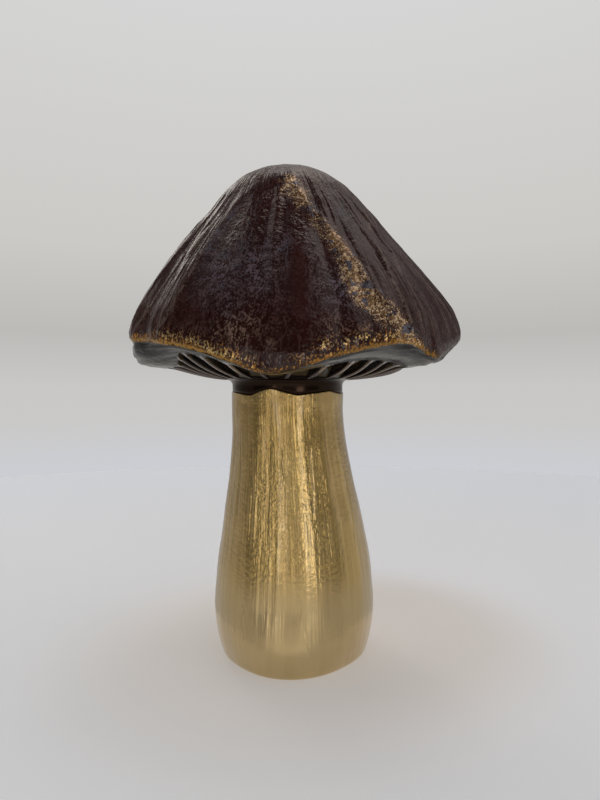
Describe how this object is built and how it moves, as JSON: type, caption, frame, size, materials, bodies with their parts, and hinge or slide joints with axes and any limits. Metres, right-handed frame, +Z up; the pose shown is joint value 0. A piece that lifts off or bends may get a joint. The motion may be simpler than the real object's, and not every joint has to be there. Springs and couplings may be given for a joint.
{
  "type": "mushroom figurine",
  "caption": "Standing mushroom ornament: dark glazed cap with a drooping rim, rolled lip and gills in relief, on a gold stem that flares to a flat foot.",
  "frame": {"origin": "middle of the flat foot, on the surface that the figurine stands on", "axes": "+Z up through the stem and the cap, -Y towards the front, +X to the right of the front"},
  "size_m": [0.1335, 0.1307, 0.1977],
  "materials": {
    "dark_glaze": "glossy dark brown glaze with an amber band along the rim",
    "gold": "satin metallic gold over fired clay, with fine upright streaks"
  },
  "bodies": {
    "root": {"cap": "dark_glaze", "stem": "gold"}
  },
  "joints": []
}
